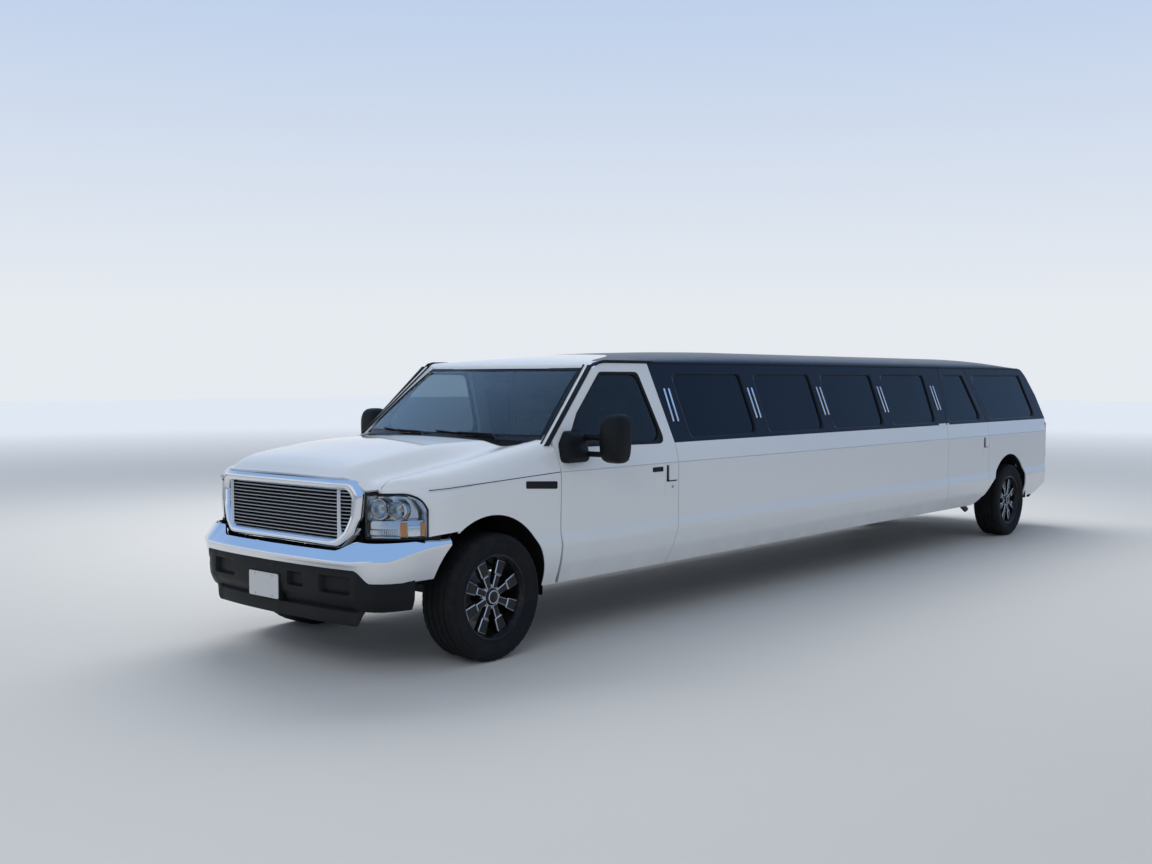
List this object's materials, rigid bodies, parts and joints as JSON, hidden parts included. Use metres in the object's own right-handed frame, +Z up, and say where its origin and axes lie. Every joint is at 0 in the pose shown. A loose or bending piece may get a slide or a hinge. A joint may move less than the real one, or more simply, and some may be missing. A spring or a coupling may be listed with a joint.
{
  "type": "stretch limousine",
  "caption": "Stretched utility-bodied limousine on a ladder frame, with steered front wheels, opening doors, hood, cargo doors and tail glass.",
  "frame": {"origin": "on the ground under the middle of the vehicle", "axes": "+X forward, +Y to the vehicle's left, +Z up"},
  "size_m": [10.3298, 2.66, 1.9699],
  "materials": {
    "body_white": "gloss white paint",
    "body_dark": "gloss blue-black paint",
    "frame_black": "satin black chassis paint",
    "chrome_trim": "bright polished plating",
    "clear_glass": "laminated clear glass",
    "dark_glass": "dark privacy glass",
    "lamp_lens": "clear moulded lens",
    "lamp_red": "red moulded lens",
    "black_plastic": "grained black moulding",
    "cast_metal": "bare cast metal",
    "steel": "plain steel",
    "tyre_rubber": "black tyre rubber",
    "black_alloy": "black wheel with machined edges",
    "seat_leather": "dark grey leather",
    "cabin_plastic": "dark grey cabin moulding",
    "cabinet_wood": "dark lacquered wood",
    "plate_blank": "blank pale plate"
  },
  "bodies": {
    "body": {"ladder_frame": "frame_black", "floor_pan": "frame_black", "engine_block": "cast_metal", "driveshaft": "steel", "exhaust_pipe": "steel", "fuel_tank": "black_plastic", "front_axle": "frame_black", "rear_axle": "frame_black", "leaf_springs": "steel", "wheel_housings": "black_plastic", "front_fenders": "body_white", "grille": "chrome_trim", "headlamps": "lamp_lens", "front_bumper": "chrome_trim", "air_dam": "black_plastic", "number_plates": "plate_blank", "cowl_panel": "black_plastic", "windscreen": "clear_glass", "screen_pillars": "body_white", "roof_panel": "body_dark", "tail_frame": "body_white", "rear_bumper": "chrome_trim", "tail_lamps": "lamp_red", "dashboard": "cabin_plastic", "steering_wheel": "cabin_plastic", "front_seats": "seat_leather", "lounge_seats": "seat_leather", "bar_cabinet": "cabinet_wood", "partition": "cabin_plastic", "lower_walls": "body_white", "upper_walls": "body_dark", "side_glass": "dark_glass"},
    "hood": {"hood": "body_white"},
    "lift_glass": {"lift_glass": "dark_glass"},
    "front_door_left": {"front_door_left": "body_white", "front_door_glass_left": "dark_glass", "mirror_left": "black_plastic"},
    "rear_door_left": {"rear_door_left": "body_white", "rear_door_glass_left": "dark_glass"},
    "cargo_door_left": {"cargo_door_left": "body_white"},
    "knuckle_left": {"knuckle_left": "cast_metal"},
    "front_wheel_left": {"tyre_front_left": "tyre_rubber", "rim_front_left": "black_alloy"},
    "rear_wheel_left": {"tyre_rear_left": "tyre_rubber", "rim_rear_left": "black_alloy"},
    "front_door_right": {"front_door_right": "body_white", "front_door_glass_right": "dark_glass", "mirror_right": "black_plastic"},
    "rear_door_right": {"rear_door_right": "body_white", "rear_door_glass_right": "dark_glass"},
    "cargo_door_right": {"cargo_door_right": "body_white"},
    "knuckle_right": {"knuckle_right": "cast_metal"},
    "front_wheel_right": {"tyre_front_right": "tyre_rubber", "rim_front_right": "black_alloy"},
    "rear_wheel_right": {"tyre_rear_right": "tyre_rubber", "rim_rear_right": "black_alloy"}
  },
  "joints": [
    {"name": "hood_hinge", "type": "hinge", "parent": "body", "child": "hood", "pos_m": [3.746, 0, 1.372], "axis": [0, -1, 0], "range_deg": [0, 50]},
    {"name": "lift_glass_hinge", "type": "hinge", "parent": "body", "child": "lift_glass", "pos_m": [-4.518, 0, 1.83], "axis": [0, 1, 0], "range_deg": [0, 75]},
    {"name": "front_door_left_hinge", "type": "hinge", "parent": "body", "child": "front_door_left", "pos_m": [3.64, 1.016, 1], "axis": [0, 0, -1], "range_deg": [0, 65]},
    {"name": "rear_door_left_hinge", "type": "hinge", "parent": "body", "child": "rear_door_left", "pos_m": [-2.293, 1.016, 1], "axis": [0, 0, -1], "range_deg": [0, 70]},
    {"name": "cargo_door_left_hinge", "type": "hinge", "parent": "body", "child": "cargo_door_left", "pos_m": [-5.03, 0.783, 1], "axis": [0, 0, -1], "range_deg": [0, 100]},
    {"name": "steer_left", "type": "hinge", "parent": "body", "child": "knuckle_left", "pos_m": [4.19, 0.758, 0.396], "axis": [0, 0, 1], "range_deg": [-30, 30]},
    {"name": "front_wheel_left_spin", "type": "hinge", "parent": "knuckle_left", "child": "front_wheel_left", "pos_m": [4.19, 0.868, 0.396], "axis": [0, 1, 0], "continuous": true},
    {"name": "rear_wheel_left_spin", "type": "hinge", "parent": "body", "child": "rear_wheel_left", "pos_m": [-3.914, 0.868, 0.396], "axis": [0, 1, 0], "continuous": true},
    {"name": "front_door_right_hinge", "type": "hinge", "parent": "body", "child": "front_door_right", "pos_m": [3.64, -1.016, 1], "axis": [0, 0, 1], "range_deg": [0, 65]},
    {"name": "rear_door_right_hinge", "type": "hinge", "parent": "body", "child": "rear_door_right", "pos_m": [-2.293, -1.016, 1], "axis": [0, 0, 1], "range_deg": [0, 70]},
    {"name": "cargo_door_right_hinge", "type": "hinge", "parent": "body", "child": "cargo_door_right", "pos_m": [-5.03, -0.783, 1], "axis": [0, 0, 1], "range_deg": [0, 100]},
    {"name": "steer_right", "type": "hinge", "parent": "body", "child": "knuckle_right", "pos_m": [4.19, -0.758, 0.396], "axis": [0, 0, 1], "range_deg": [-30, 30]},
    {"name": "front_wheel_right_spin", "type": "hinge", "parent": "knuckle_right", "child": "front_wheel_right", "pos_m": [4.19, -0.868, 0.396], "axis": [0, 1, 0], "continuous": true},
    {"name": "rear_wheel_right_spin", "type": "hinge", "parent": "body", "child": "rear_wheel_right", "pos_m": [-3.914, -0.868, 0.396], "axis": [0, 1, 0], "continuous": true}
  ],
  "couplings": [
    {"joint": "steer_right", "follows": "steer_left", "ratio": 1}
  ]
}
